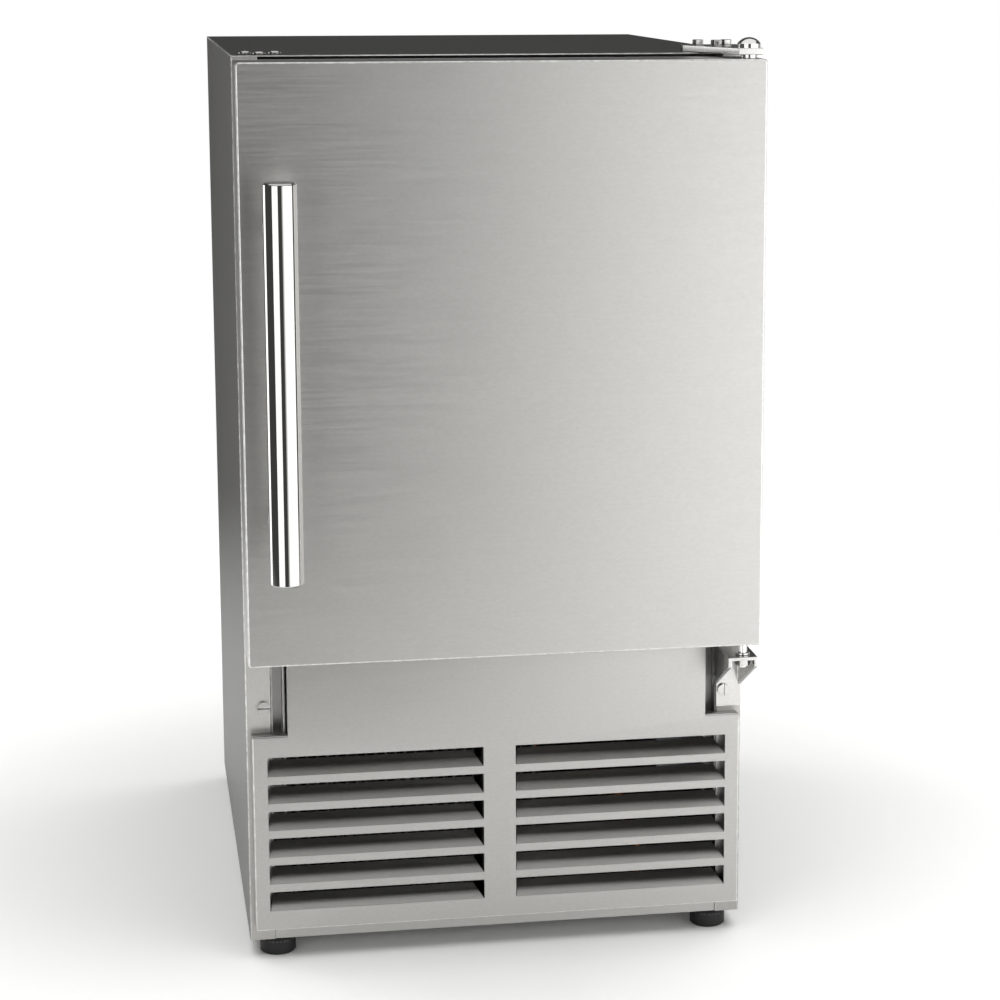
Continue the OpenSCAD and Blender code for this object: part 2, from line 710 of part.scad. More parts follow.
// Outline of the evaporator cover, with its air slots, pipe hole and ringed fan guard.
module cover_outline(low, high) {
    opening_r = cold_fan_r + 4;
    rib_w = 2.4;
    slot_left = -120;
    slot_w = 8;
    half = liner_x - 0.3;
    difference() {
        translate([-half, low]) square([2 * half, high - low]);
        translate([cold_fan_x, cold_fan_z]) circle(r = opening_r);
        translate([module_x, water_z]) circle(r = water_r + 1.5);
        for (i = [0:7]) translate([slot_left + i * 2 * slot_w, low + slot_w]) square([slot_w, 2 * slot_w]);
    }
    translate([cold_fan_x, cold_fan_z]) {
        for (r = [14, 24, 34]) difference() {
            circle(r = r + rib_w / 2);
            circle(r = r - rib_w / 2);
        }
        square([2 * opening_r + 1, rib_w], center = true);
        square([rib_w, 2 * opening_r + 1], center = true);
    }
}

// Plastic cover that makes the cold-air plenum at the back of the compartment.
module evaporator_cover() color("#e9e9e5") from_face() {
    low = coil_z - 30;
    cover_t = 2;
    translate([0, plenum_y + cover_t, 0]) rotate([90, 0, 0]) linear_extrude(cover_t)
        cover_outline(low, ceiling_z - 0.3);
    block([-liner_x + 0.3, plenum_y + cover_t, low], [liner_x - 0.3, liner_back, low + cover_t]);
}

module evaporator_fan() color("#4a4d50") from_face()
    translate([cold_fan_x, plenum_y + 5, cold_fan_z])
        axial_fan(10, cold_fan_r, 10, 5, cold_shaft_r + running_gap);

module evaporator_fan_motor() color("#6a6d70") from_face() {
    front = plenum_y + 18;
    rod_y([cold_fan_x, front, cold_fan_z], 14, liner_back - front);
    rod_y([cold_fan_x, front - 8.5, cold_fan_z], cold_shaft_r, 9);
}

// Control box under the compartment's ceiling.
module control_box() color("#e9e9e5") from_face() difference() {
    skin = 2;
    low = ceiling_z - 34;
    right = liner_x - 6;
    back = box_front + 76;
    block([box_x, box_front, low], [right, back, ceiling_z]);
    block([box_x + skin, box_front + skin, low + skin], [right - skin, back - skin, ceiling_z + 1]);
    rod_y([knob_x, box_front - 1, control_z], 3 + running_gap, 4);
    block([rocker_x - 6.5, box_front - 1, control_z - 11.4],
        [rocker_x + 6.5, box_front + 3, control_z + 11.4]);
}

module thermostat_knob() color("#2b2d2f") from_face() translate([knob_x, box_front - 13.5, control_z]) {
    difference() {
        rod_y([0, 0, 0], 10, 13);
        block([2, -1, -12], [12, 6, 12]);
        block([-12, -1, -12], [-2, 6, 12]);
    }
    rod_y([0, 12, 0], 3, 9);
}

// Two-position rocker, tilted with its upper half pressed in.
module power_rocker() color("#1f2123") from_face() translate([rocker_x + 6, box_front, control_z])
    rotate([90, 0, -90]) rotate([0, 0, 12]) linear_extrude(12)
        polygon([[-7, 0], [3, -10], [4.6, -10], [2.2, 0], [4.6, 10], [3, 10]]);

// Lift-out bucket that the ice falls into.
module ice_bucket() color("#e6edf0") from_face() translate([0, 192, floor_z + foot_gap]) {
    width = 2 * liner_x - 14;
    depth = 305;
    height = 150;
    skin = 2.5;
    difference() {
        linear_extrude(height) rounded_rect(width, depth, 18);
        translate([0, 0, skin]) linear_extrude(height)
            rounded_rect(width - 2 * skin, depth - 2 * skin, 18 - skin);
    }
    block([-60, -depth / 2 - 10, height - 3], [60, -depth / 2 + 1, height]);
    block([-60, -depth / 2 - 10, height - 14], [60, -depth / 2 - 8, height - 3]);
}

// ---------------------------------------------------------------- machine bay

module compressor() color("#2c2e30") from_face() translate([comp_x, comp_y, 0]) {
    low = 34;
    high = 165;
    shoulder = 26;
    seam_z = 94;
    seam_out = 3;
    seam_h = 4;
    relay_half = 18;
    rotate_extrude() intersection() {
        square([comp_r + 4, high]);
        union() {
            translate([-comp_r + 0.5, low]) square([2 * (comp_r - shoulder), high - low]);
            translate([0, low + shoulder]) square([comp_r, high - low - 2 * shoulder]);
            for (z = [low + shoulder, high - shoulder]) translate([comp_r - shoulder, z]) circle(r = shoulder);
            translate([0, seam_z]) square([comp_r + seam_out, seam_h]);
        }
    }
    difference() {
        block([-62, -50, comp_plate_z], [62, 50, comp_plate_z + comp_plate_t]);
        for (p = mount_places) translate([p.x, p.y, comp_plate_z - 1]) cylinder(h = 6, r = 6);
    }
    translate([0, 0, comp_plate_z + 1]) cylinder(h = 6, r = 30);
    rod_y([-discharge_in, -discharge_reach, discharge_z], bay_pipe_r, 20);
    rod_y([25, 42, 100], suction_r, 19);
    block([comp_r - 6, -relay_half, 100], [comp_r + 14, relay_half, 140]);
}

module compressor_mounts() color("#1a1a1a") from_face() translate([comp_x, comp_y, pan_top])
    for (p = mount_places) translate([p.x, p.y, 0]) {
        cylinder(h = comp_plate_z - pan_top, r = 10);
        cylinder(h = comp_plate_z + 5 - pan_top, r = 5.9);
        translate([0, 0, comp_plate_z + comp_plate_t - pan_top]) cylinder(h = 3, r = 8);
    }

// Finned condenser block: eight tube runs through upright fins, with an end plate at each side.
module condenser_coil() color("#4d4f50") from_face() {
    plate_front = coil_mid_y - 16;
    plate_back = coil_mid_y + 16;
    plate_top = 200;
    fin_low = 20;
    fin_half = 0.5;
    fin_pitch = 7;
    rows = 4;
    row_step = 42;
    row_low = 42;
    bend_r = 7;
    overhang = 3;
    for (x = [coil_left, coil_right]) block([x - 1, plate_front, pan_top], [x + 1, plate_back, plate_top]);
    for (x = [coil_left + fin_pitch:fin_pitch:coil_right - overhang])
        block([x - fin_half, plate_front + 1, fin_low], [x + fin_half, plate_back - 1, plate_top - 2]);
    for (y = [coil_mid_y - bend_r, coil_mid_y + bend_r], i = [0:rows - 1])
        rod_x([coil_left - overhang, y, row_low + i * row_step], bay_pipe_r,
            coil_right - coil_left + 2 * overhang);
    for (i = [0:rows - 1], x = [coil_left - overhang, coil_right + overhang]) if (i % 2 == (x < 0 ? 0 : 1))
        translate([x, coil_mid_y, row_low + i * row_step]) rotate([0, 0, x < 0 ? 90 : -90])
            rotate_extrude(angle = 180) translate([bend_r, 0]) circle(r = bay_pipe_r);
    for (z = [coil_inlet_z, coil_outlet_z]) rod_x([coil_right, coil_mid_y, z], bay_pipe_r, coil_stub);
}

module fan_shroud() color("#3b3d3f") from_face() difference() {
    union() {
        block([coil_left - 3, 58, pan_top], [coil_right + 3, 60, 204]);
        rod_y([fan_x, 60, fan_z], fan_r + 7, 20);
    }
    rod_y([fan_x, 57, fan_z], fan_r + 5, 30);
}

module condenser_fan() color("#7b7e80") from_face()
    translate([fan_x, fan_front, fan_z]) axial_fan(14, fan_r, fan_depth, 5, fan_shaft_r + running_gap);

// Fan motor on its pedestal.
module condenser_fan_motor() color("#55585a") from_face() {
    front = fan_front + fan_depth + 10;
    length = 38;
    base_t = 3;
    rod_y([fan_x, front, fan_z], 24, length);
    rod_y([fan_x, fan_front + 8, fan_z], fan_shaft_r, 21);
    block([fan_x - 8, front + 6, pan_top + base_t], [fan_x + 8, front + length - 6, fan_z - 20]);
    block([fan_x - 26, front + 2, pan_top], [fan_x + 26, front + length - 2, pan_top + base_t]);
}

module filter_drier() color("#b87333") from_face() {
    rod_y(drier_place, 10, drier_len);
    rod_y(drier_place - [0, drier_stub, 0], bay_pipe_r, drier_len + 2 * drier_stub);
}

// Three copper pipes: discharge to the condenser, liquid from the condenser to the drier, and
// suction from the evaporator down through the rear foam to the compressor.
module refrigerant_tubes() color("#b87333") from_face() {
    hot_x = comp_x - discharge_in;
    riser_y = 150;
    stub_x = coil_right + coil_stub;
    entry = drier_place - [0, drier_stub, 0];
    pipe([[hot_x, comp_y - discharge_reach, discharge_z], [hot_x, riser_y, discharge_z],
        [hot_x, riser_y, coil_inlet_z], [hot_x, coil_mid_y, coil_inlet_z],
        [stub_x, coil_mid_y, coil_inlet_z]], bay_pipe_r, pipe_bend);
    pipe([[stub_x, coil_mid_y, coil_outlet_z], [entry.x, coil_mid_y, coil_outlet_z],
        [entry.x, coil_mid_y, entry.z], entry], bay_pipe_r, pipe_bend);
    pipe(suction_path, suction_r, pipe_bend);
}

// Solenoid valve with a threaded hose inlet behind the cabinet.
module water_valve() color("#d9d9d2") from_face() {
    half = 20;
    top = valve_z + 23;
    block([valve_x - half, cab_d - 40, top - 2 * half], [valve_x + half, cab_d - 3, top]);
    rod_y([valve_x, cab_d - 3, valve_z], 10.6, 4);
    translate([valve_x, cab_d, valve_z]) rotate([-90, 0, 0]) cylinder(h = 5, r = 16, $fn = 6);
    rod_y([valve_x, cab_d + 5, valve_z], 13.2, rear_reach - cab_d - 5);
    translate([valve_x, cab_d - 22, top]) cylinder(h = 30, r = 16);
    rod_x([valve_x + half, channel_y, valve_z + 15], water_r, 6);
}

module water_tube() color("#dfe7e4") from_face() pipe(water_path, water_r, water_bend);

// Drain from the compartment's floor to a spigot behind the cabinet, collared where it leaves.
module drain_tube() color("#c9c9c4") from_face() {
    collar_t = 2;
    pipe(drain_path, drain_r, drain_bend);
    rod_y([drain_x, cab_d, drain_z], drain_r + 3, collar_t);
}

// Wiring box on the right wall of the bay, closed by the side panel.
module electrical_box() color("#8b8d8f") from_face() difference() {
    corner = [130, 70, 90];
    side = 100;
    skin = 1.5;
    block(corner, [inner_x, corner.y + side, corner.z + side]);
    block([for (c = corner) c + skin], [inner_x + 1, corner.y + side - skin, corner.z + side - skin]);
}

// Grommet in the rear cover with a flange outside; the bore takes the power cord.
module cord_gland() color("#1d1d1d") from_face() difference() {
    flange_r = gland_r + 3;
    flange_t = 3;
    depth = 7;
    bore_r = 4.5;
    union() {
        rod_y([gland_x, cab_d, gland_z], flange_r, flange_t);
        rod_y([gland_x, cab_d - depth, gland_z], gland_r, depth + 1);
    }
    rod_y([gland_x, cab_d - depth - 1, gland_z], bore_r, depth + flange_t + 2);
}

left_side_panel();
right_side_panel();
top_panel();
rear_panel();
rear_access_cover();
cabinet_insulation();
inner_liner();
breaker_frame();
mullion_rail();
base_pan();
grille_channels();
grille();
flange_screws();
cover_screws();
foot_front_left();
foot_front_right();
foot_rear_left();
foot_rear_right();
door_skin();
door_insulation();
door_liner();
door_gasket();
handle_bar();
handle_posts();
hinge_bushes();
top_hinge_plate();
top_hinge_pin();
top_hinge_screws();
hinge_plug_screws();
bottom_hinge_bracket();
bottom_hinge_pin();
hinge_nut();
ice_mould();
module_bracket();
module_housing();
ejector();
ice_stripper();
bail_arm();
fill_cup();
evaporator_coil();
evaporator_cover();
evaporator_fan();
evaporator_fan_motor();
control_box();
thermostat_knob();
power_rocker();
ice_bucket();
compressor();
compressor_mounts();
condenser_coil();
fan_shroud();
condenser_fan();
condenser_fan_motor();
filter_drier();
refrigerant_tubes();
water_valve();
water_tube();
drain_tube();
electrical_box();
cord_gland();
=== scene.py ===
"""Looks of the undercounter ice maker: materials, softened edges, small details, floor, light and camera.

Metres, in the CAD model's own frame: the floor is z = 0, +Z is up and -Y is the front.
"""

import json
import math

import bmesh
import bpy
from mathutils import Matrix, Vector


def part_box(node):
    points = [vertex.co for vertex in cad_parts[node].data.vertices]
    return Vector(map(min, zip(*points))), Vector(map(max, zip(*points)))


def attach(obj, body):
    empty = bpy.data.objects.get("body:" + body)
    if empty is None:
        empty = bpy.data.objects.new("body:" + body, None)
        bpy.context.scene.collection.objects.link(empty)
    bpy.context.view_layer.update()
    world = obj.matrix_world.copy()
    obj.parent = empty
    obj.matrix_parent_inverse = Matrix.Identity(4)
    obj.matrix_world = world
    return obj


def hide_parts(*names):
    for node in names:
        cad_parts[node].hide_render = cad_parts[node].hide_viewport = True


MM = 0.001
MICRON = 0.000001

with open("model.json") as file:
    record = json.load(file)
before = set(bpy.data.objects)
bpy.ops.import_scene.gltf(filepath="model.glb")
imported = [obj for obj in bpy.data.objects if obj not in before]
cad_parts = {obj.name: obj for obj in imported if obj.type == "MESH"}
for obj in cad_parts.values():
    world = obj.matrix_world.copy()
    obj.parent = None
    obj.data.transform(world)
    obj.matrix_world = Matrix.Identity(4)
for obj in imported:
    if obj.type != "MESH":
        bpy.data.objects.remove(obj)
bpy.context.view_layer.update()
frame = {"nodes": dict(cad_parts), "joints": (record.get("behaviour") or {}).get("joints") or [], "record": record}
nodes = frame["nodes"]
bodies = frame["record"]["behaviour"]["bodies"]
body_of = {name: body for body, group in bodies.items() for name in group}
slot_of = {part["node"]: part["material_slot"] for part in frame["record"]["subparts"]}


# ---------------------------------------------------------------- shader helpers


def add(tree, kind, inputs=None, **settings):
    """Adds a shader node: settings are its attributes, inputs the values or links of its sockets."""
    node = tree.nodes.new("ShaderNode" + kind)
    for name, value in settings.items():
        setattr(node, name, value)
    for name, value in (inputs or {}).items():
        if isinstance(value, bpy.types.NodeSocket):
            tree.links.new(value, node.inputs[name])
        else:
            node.inputs[name].default_value = value
    return node


def math_node(tree, operation, a, b):
    """One arithmetic step on two values or sockets."""
    return add(tree, "Math", {0: a, 1: b}, operation=operation).outputs[0]


def rescaled(tree, value, low, high, from_low=0.3, from_high=0.7):
    """A texture value spread over low to high."""
    spread = {"Value": value, "From Min": from_low, "From Max": from_high, "To Min": low, "To Max": high}
    return add(tree, "MapRange", spread).outputs["Result"]


def noise(tree, size, stretch=(1, 1, 1), detail=3.0):
    """Noise whose features are size metres across, and stretch times longer along each axis."""
    place = add(tree, "TexCoord").outputs["Object"]
    scale = [1 / (size * s) for s in stretch]
    mapped = add(tree, "Mapping", {"Vector": place, "Scale": scale}).outputs["Vector"]
    return add(tree, "TexNoise", {"Vector": mapped, "Scale": 1.0, "Detail": detail}).outputs["Fac"]


def cells(tree, size):
    """Voronoi cells size metres across: their distance field and their random colour."""
    place = add(tree, "TexCoord").outputs["Object"]
    texture = add(tree, "TexVoronoi", {"Vector": place, "Scale": 1 / size}, feature="F1")
    return texture.outputs["Distance"], texture.outputs["Color"]


def blended(tree, factor, a, b):
    """Colour a to colour b by factor."""
    mix = add(tree, "Mix", data_type="RGBA")
    for socket, value in ((mix.inputs[0], factor), (mix.inputs[6], a), (mix.inputs[7], b)):
        if isinstance(value, bpy.types.NodeSocket):
            tree.links.new(value, socket)
        else:
            socket.default_value = value
    return mix.outputs[2]


def shade(tone, share):
    """A tone scaled by share, as RGBA."""
    return [min(1.0, c * share) for c in tone] + [1.0]


def material(name, **uniform):
    """A new material, its tree and its Principled shader, with the sockets that are uniform all over."""
    made = bpy.data.materials.new(name)
    made.use_nodes = True
    shader = made.node_tree.nodes["Principled BSDF"]
    for socket, value in uniform.items():
        shader.inputs[socket.replace("_", " ")].default_value = value
    return made, made.node_tree, shader


def rubbed_and_highlit_edges(tree, strength, size=4 * MM):
    """How much rubbing the surface shows, and on brushed steel how bright its painted edge highlight is: up to
    strength on rounded edges, broken up by noise, and 0 elsewhere.
    """
    edge = add(tree, "Attribute", attribute_name="rubbed_and_highlit").outputs["Fac"]
    rubbed_and_highlit_share = math_node(tree, "MULTIPLY", edge, rescaled(tree, noise(tree, size), 0.4, 1.0))
    return math_node(tree, "MULTIPLY", rubbed_and_highlit_share, strength)


def set_surface(tree, shader, colour, roughness, height, depth):
    """Links colour, roughness and a bump of the given depth in metres to the shader."""
    tree.links.new(colour, shader.inputs["Base Color"])
    tree.links.new(roughness, shader.inputs["Roughness"])
    bump = add(tree, "Bump", {"Strength": 1.0, "Distance": depth, "Height": height})
    tree.links.new(bump.outputs["Normal"], shader.inputs["Normal"])


# ---------------------------------------------------------------- materials


# Near white for rounded steel edges: a painted highlight, on top of bare rubbed metal.
BARE_AND_HIGHLIT_EDGE = [0.85, 0.845, 0.83, 1.0]
DUST = [0.30, 0.29, 0.27, 1.0]
THIN_ENAMEL = [0.34, 0.33, 0.32, 1.0]


def brushed_steel(
    name, tone, roughness, grain, axis="Z", anisotropy=0.5, rotation=0.25, front_light_share=1.0
):
    """Brushed stainless sheet: long streaks along grain, faint mottling, and rounded edges painted near white, as
    a painted highlight and as bare rubbed metal.

    The front share is how much lighter the flanges that a folded sheet turns to the front are painted: painted
    light over a sheet whose darker tone is painted shade.
    """
    made, tree, shader = material(
        name, Metallic=1.0, Anisotropic=anisotropy, Anisotropic_Rotation=rotation
    )
    streaks = noise(tree, 1.1 * MM, grain, detail=4.0)
    broad = noise(tree, 160 * MM, detail=1.0)
    speckle = noise(tree, 1.6 * MM, [2 if share > 1 else 1 for share in grain], detail=2.0)
    fine = blended(tree, rescaled(tree, streaks, 0.0, 1.0), shade(tone, 0.985), shade(tone, 1.015))
    base = blended(tree, rescaled(tree, speckle, 0.0, 0.12), fine, shade(tone, 0.5))
    mottled = blended(tree, rescaled(tree, broad, 0.0, 0.1), base, shade(tone, 0.86))
    # Painted light: faces that look to the front have their tone raised by the front share, so the front flanges
    # of a side or top painted in shade match the door.
    front = add(tree, "Attribute", attribute_name="front").outputs["Fac"]
    gain = rescaled(tree, front, 1.0, front_light_share, 0.0, 1.0)
    faced = add(tree, "VectorMath", {0: mottled, "Scale": gain}, operation="SCALE").outputs[0]
    # Rounded edges are painted near white: a painted highlight along the folds, with bare rubbed metal.
    colour = blended(tree, rubbed_and_highlit_edges(tree, 0.9), faced, BARE_AND_HIGHLIT_EDGE)
    rough = rescaled(tree, streaks, roughness - 0.03, roughness + 0.03)
    rough = math_node(tree, "ADD", rough, rubbed_and_highlit_edges(tree, 0.12))
    set_surface(tree, shader, colour, rough, height=streaks, depth=0.7 * MICRON)
    tangent = add(tree, "Tangent", direction_type="RADIAL", axis=axis)
    tree.links.new(tangent.outputs["Tangent"], shader.inputs["Tangent"])
    return made


def polished_steel(name, tone, roughness):
    """Polished or plated bright metal with hair-fine scratches and faint smears."""
    made, tree, shader = material(name, Metallic=1.0)
    scratches = noise(tree, 0.4 * MM, (1, 1, 60))
    smears = noise(tree, 18 * MM, (1, 1, 2))
    colour = blended(tree, rescaled(tree, smears, 0.0, 1.0), shade(tone, 0.97), shade(tone, 1.03))
    rough = rescaled(tree, smears, roughness * 0.7, roughness * 1.5)
    set_surface(tree, shader, colour, rough, height=scratches, depth=1.2 * MICRON)
    return made


def galvanised(name, tone, roughness, spangle=14 * MM):
    """Zinc-coated sheet with its crystal spangle, dulled by handling."""
    made, tree, shader = material(name, Metallic=0.85)
    distance, crystal = cells(tree, spangle)
    fine = noise(tree, 1.2 * MM)
    level = add(tree, "SeparateColor", {"Color": crystal}).outputs[0]
    base = blended(tree, rescaled(tree, level, 0.0, 1.0, 0.0, 1.0), shade(tone, 0.84), shade(tone, 1.1))
    smudge = rescaled(tree, noise(tree, 60 * MM), 0.0, 0.25)
    dulled = blended(tree, smudge, base, shade(tone, 0.75))
    colour = blended(tree, rubbed_and_highlit_edges(tree, 0.5), dulled, shade(tone, 1.3))
    rough = rescaled(tree, level, roughness - 0.08, roughness + 0.1, 0.0, 1.0)
    crystals = math_node(tree, "MULTIPLY", distance, 0.5)
    height = math_node(tree, "ADD", crystals, math_node(tree, "MULTIPLY", fine, 0.3))
    set_surface(tree, shader, colour, rough, height, depth=20 * MICRON)
    return made


def moulded_plastic(name, tone, roughness, **uniform):
    """Moulded plastic: a fine etched texture, slight unevenness of tone and scuffed corners."""
    made, tree, shader = material(name, **uniform)
    etched = noise(tree, 0.6 * MM, detail=2.0)
    broad = noise(tree, 50 * MM, detail=2.0)
    base = blended(tree, rescaled(tree, broad, 0.0, 1.0), shade(tone, 0.95), shade(tone, 1.03))
    lighter = [c + (1 - c) * 0.12 for c in tone] + [1.0]
    colour = blended(tree, rubbed_and_highlit_edges(tree, 0.5, 2 * MM), base, lighter)
    rough = rescaled(tree, etched, roughness - 0.05, roughness + 0.07)
    set_surface(tree, shader, colour, rough, height=etched, depth=10 * MICRON)
    return made


def enamel(name, tone, roughness):
    """Sprayed enamel over steel: orange peel, a little dust, and edges rubbed thin."""
    made, tree, shader = material(name, Coat_Weight=0.3, Coat_Roughness=0.2)
    peel = noise(tree, 2.5 * MM, detail=2.0)
    dust = rescaled(tree, noise(tree, 30 * MM, detail=4.0), 0.0, 0.18)
    base = blended(tree, dust, shade(tone, 1.0), DUST)
    colour = blended(tree, rubbed_and_highlit_edges(tree, 0.4, 3 * MM), base, THIN_ENAMEL)
    rough = rescaled(tree, peel, roughness - 0.06, roughness + 0.1)
    set_surface(tree, shader, colour, rough, height=peel, depth=30 * MICRON)
    return made


def rubber(name, tone):
    """Dull rubber with a powdery bloom."""
    made, tree, shader = material(name, Specular_IOR_Level=0.35)
    bloom = noise(tree, 12 * MM, detail=4.0)
    grain = noise(tree, 0.8 * MM)
    colour = blended(tree, rescaled(tree, bloom, 0.0, 1.0), shade(tone, 0.85), shade(tone, 1.25))
    rough = rescaled(tree, bloom, 0.62, 0.85)
    set_surface(tree, shader, colour, rough, height=grain, depth=40 * MICRON)
    return made


def cast_metal(name, tone, roughness, depth=80 * MICRON):
    """Cast or drawn soft metal with a pebbled skin and darker stains."""
    made, tree, shader = material(name, Metallic=1.0)
    pebble = noise(tree, 1.4 * MM, detail=4.0)
    stain = noise(tree, 20 * MM, detail=4.0)
    base = blended(tree, rescaled(tree, stain, 0.0, 1.0), shade(tone, 0.8), shade(tone, 1.06))
    colour = blended(tree, rubbed_and_highlit_edges(tree, 0.7, 3 * MM), base, shade(tone, 1.35))
    rough = rescaled(tree, pebble, roughness - 0.07, roughness + 0.1)
    set_surface(tree, shader, colour, rough, pebble, depth)
    return made


def rigid_foam(name, tone):
    """Cut rigid foam: fine cells and a yellowed skin."""
    made, tree, shader = material(name, Specular_IOR_Level=0.2)
    pores = cells(tree, 1.6 * MM)[0]
    skin = noise(tree, 30 * MM, detail=4.0)
    colour = blended(tree, rescaled(tree, skin, 0.0, 1.0), shade(tone, 0.82), shade(tone, 1.05))
    rough = rescaled(tree, skin, 0.8, 0.95)
    set_surface(tree, shader, colour, rough, height=pores, depth=300 * MICRON)
    return made


def linear(tone):
    """A record colour, which is sRGB, as linear values."""
    return [c / 12.92 if c <= 0.04045 else ((c + 0.055) / 1.055) ** 2.4 for c in tone]


TONE = {entry["slot"]: linear(entry["base_color"]) for entry in frame["record"]["materials"]}
ALONG_X, ALONG_Y, ALONG_Z = (40, 1, 1), (1, 40, 1), (1, 1, 40)
STEEL = [0.46, 0.455, 0.44]
# Painted shade: the sides and the top are the door's stainless steel in darker tones, for the dark surroundings
# they reflect; their front flanges are painted back up to the door's tone.
SIDE_PAINTED_SHADE = [0.115, 0.113, 0.1085]
TOP_PAINTED_SHADE = [0.17, 0.167, 0.16]
CHANNEL_STEEL = [0.34, 0.335, 0.325]
HINGE_STEEL = [0.5, 0.495, 0.483]
HANDLE_STEEL = [0.45, 0.446, 0.435]
PIN_STEEL = [0.68, 0.675, 0.66]
FOOT_BLACK = [c * 0.12 for c in TONE["foot_black"]]

MATERIALS = {
    "stainless_door": brushed_steel("steel_door", STEEL, 0.33, ALONG_X, anisotropy=0.3),
    "stainless_grille": brushed_steel("steel_grille", STEEL, 0.4, ALONG_X, anisotropy=0.4),
    # The sides and the top: darker copies of the door's steel as painted shade, with a front share that paints
    # their front flanges lighter.
    "stainless_side": brushed_steel(
        "painted_shade_side", SIDE_PAINTED_SHADE, 0.34, ALONG_Z, rotation=0.0, front_light_share=3.6
    ),
    "stainless_top": brushed_steel(
        "painted_shade_top", TOP_PAINTED_SHADE, 0.36, ALONG_Y, axis="X", front_light_share=2.4
    ),
    "stainless_rail": brushed_steel("steel_rail", STEEL, 0.38, ALONG_X),
    "stainless_channel": brushed_steel("steel_channel", CHANNEL_STEEL, 0.36, ALONG_Z, rotation=0.0),
    "hinge_steel": brushed_steel("steel_hinge", HINGE_STEEL, 0.22, ALONG_X, anisotropy=0.3),
    "handle_steel": polished_steel("steel_handle", HANDLE_STEEL, 0.03),
    "screw_steel": polished_steel("steel_screws", STEEL, 0.12),
    "pin_steel": polished_steel("steel_pins", PIN_STEEL, 0.10),
    "wire_zinc": polished_steel("zinc_wire", TONE["wire_zinc"], 0.2),
    "rear_sheet": galvanised("zinc_rear", TONE["rear_sheet"], 0.42),
    "base_steel": brushed_steel("steel_base", STEEL, 0.42, ALONG_X),
    "bracket_zinc": galvanised("zinc_bracket", TONE["bracket_zinc"], 0.36, 6 * MM),
    "box_steel": galvanised("zinc_box", TONE["box_steel"], 0.42, 10 * MM),
    "foam": rigid_foam("foam_yellow", TONE["foam"]),
    "white_liner": moulded_plastic("plastic_liner", TONE["white_liner"], 0.24, Coat_Weight=0.3),
    "breaker": moulded_plastic("plastic_breaker", TONE["breaker"], 0.42),
    "module_plastic": moulded_plastic("plastic_module", TONE["module_plastic"], 0.4),
    "ejector_plastic": moulded_plastic("plastic_ejector", TONE["ejector_plastic"], 0.3),
    "bush_plastic": moulded_plastic("plastic_bush", TONE["bush_plastic"], 0.4),
    "valve_plastic": moulded_plastic("plastic_valve", TONE["valve_plastic"], 0.42),
    "fan_grey": moulded_plastic("plastic_fan", TONE["fan_grey"], 0.4),
    "knob_black": moulded_plastic("plastic_knob", TONE["knob_black"], 0.42),
    "rocker_black": moulded_plastic("plastic_rocker", TONE["rocker_black"], 0.22),
    "foot_black": moulded_plastic("plastic_foot", FOOT_BLACK, 0.6),
    "shroud_plastic": moulded_plastic("plastic_shroud", TONE["shroud_plastic"], 0.5),
    "gland_black": moulded_plastic("plastic_gland", TONE["gland_black"], 0.45),
    "hose_grey": moulded_plastic("plastic_drain", TONE["hose_grey"], 0.42),
    "hose_clear": moulded_plastic("plastic_hose", TONE["hose_clear"], 0.25, Transmission_Weight=0.55),
    "bucket_plastic": moulded_plastic(
        "plastic_bucket", TONE["bucket_plastic"], 0.25, Transmission_Weight=0.35
    ),
    "gasket_rubber": rubber("rubber_gasket", TONE["gasket_rubber"]),
    "mount_rubber": rubber("rubber_mounts", TONE["mount_rubber"]),
    "compressor_black": enamel("enamel_compressor", TONE["compressor_black"], 0.3),
    "condenser_black": enamel("enamel_condenser", TONE["condenser_black"], 0.55),
    "motor_steel": enamel("enamel_motor", TONE["motor_steel"], 0.45),
    "cast_aluminium": cast_metal("aluminium_mould", TONE["cast_aluminium"], 0.5),
    "coil_aluminium": cast_metal("aluminium_coil", TONE["coil_aluminium"], 0.38, 20 * MICRON),
    "fan_aluminium": cast_metal("aluminium_fan", TONE["fan_aluminium"], 0.36, 10 * MICRON),
    "copper": cast_metal("copper_pipe", TONE["copper"], 0.28, 10 * MICRON),
}

for name, piece in nodes.items():
    piece.data.materials.clear()
    piece.data.materials.append(MATERIALS[slot_of[name]])


# ---------------------------------------------------------------- softened edges

WELD = 2 * MICRON
SLACK = 0.1 * MM
FLAT = math.radians(0.4)
SHARP = math.radians(30)


def stand_for(mesh, name, *replaced):
    """Puts a mesh in the place of CAD nodes, on their body and in their slot, with flat faces kept flat."""
    piece = bpy.data.objects.new(name, mesh)
    bpy.context.scene.collection.objects.link(piece)
    mesh.materials.append(MATERIALS[slot_of[replaced[0]]])
    for polygon in mesh.polygons:
        polygon.use_smooth = True
    weighted = piece.modifiers.new("flat_faces", "WEIGHTED_NORMAL")
    weighted.keep_sharp = True
    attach(piece, body_of[replaced[0]])
    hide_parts(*replaced)


def welded(name):
    """The CAD node's mesh as a bmesh with shared corners and one face for each flat side."""
    work = bmesh.new()
    work.from_mesh(nodes[name].data)
    bmesh.ops.remove_doubles(work, verts=work.verts, dist=WELD)
    bmesh.ops.dissolve_limit(work, angle_limit=FLAT, verts=work.verts, edges=work.edges)
    return work


